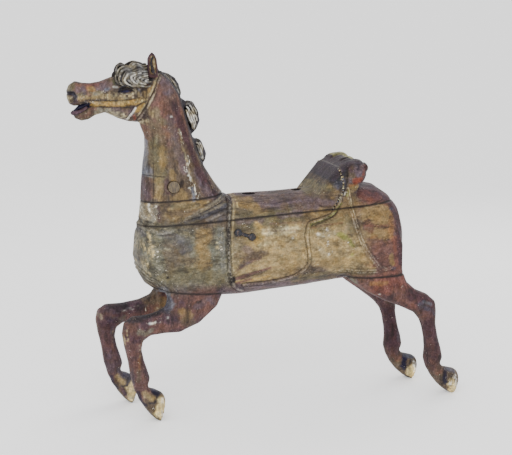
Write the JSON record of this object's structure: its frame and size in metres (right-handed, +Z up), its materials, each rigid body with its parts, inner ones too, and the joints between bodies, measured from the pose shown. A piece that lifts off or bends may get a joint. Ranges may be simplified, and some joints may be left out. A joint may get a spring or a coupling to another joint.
{
  "type": "carousel horse",
  "caption": "Weathered carved wooden carousel horse in a leap, with open mouth, curled forelock, saddle with lobed cantle, and worn old paint.",
  "frame": {"origin": "on the floor under the middle of the horse's bounding box", "axes": "+X towards the tail, -X the way the horse faces, -Y its left side, +Z up"},
  "size_m": [1.392, 0.292, 1.2501],
  "materials": {
    "head_paint": "worn and crackled old paint",
    "back_paint": "worn and crackled old paint",
    "body_paint": "worn and flaking old paint",
    "leg_paint": "worn and scuffed old paint",
    "plug_wood": "aged and painted over",
    "hook_iron": "blackened, worn"
  },
  "bodies": {
    "root": {"head_and_neck": "head_paint", "back_and_saddle": "back_paint", "barrel": "body_paint", "front_left_leg": "leg_paint", "front_right_leg": "leg_paint", "rear_left_leg": "leg_paint", "rear_right_leg": "leg_paint", "neck_plug_left": "plug_wood", "neck_plug_right": "plug_wood", "iron_hook_left": "hook_iron", "iron_hook_right": "hook_iron"}
  },
  "joints": []
}
